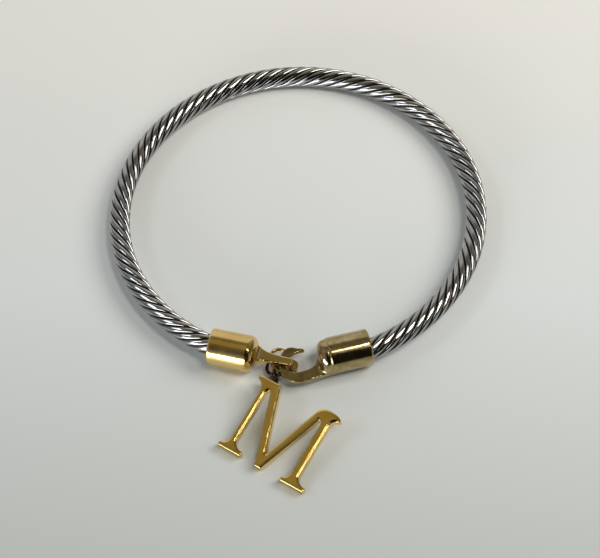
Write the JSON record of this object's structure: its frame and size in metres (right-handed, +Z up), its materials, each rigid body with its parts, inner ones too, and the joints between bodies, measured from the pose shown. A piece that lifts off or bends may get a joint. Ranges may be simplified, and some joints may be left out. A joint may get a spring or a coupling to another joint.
{
  "type": "rope bangle",
  "caption": "Stiff twisted-rope bangle with metal end caps, an eye-and-hook clasp and a hanging letter charm.",
  "frame": {"origin": "middle of the outline, on the table under the bangle", "axes": "+Z up from the table, square to the ring as it lies; +Y from the clasp and charm toward the back of the ring; +X toward the hook cap's side"},
  "size_m": [0.0656, 0.0848, 0.0062],
  "materials": {
    "rope_steel": "polished grey strands with dark grooves",
    "cap_gold": "polished warm gold, lightly worn",
    "worn_gold": "scuffed and tarnished greenish gold",
    "wire_gold": "polished gold, darkened",
    "charm_gold": "bright polished yellow gold"
  },
  "bodies": {
    "root": {"rope_cable": "rope_steel", "eye_cap": "cap_gold", "hook_cap": "worn_gold", "jump_ring": "wire_gold", "letter_charm": "charm_gold"}
  },
  "joints": []
}
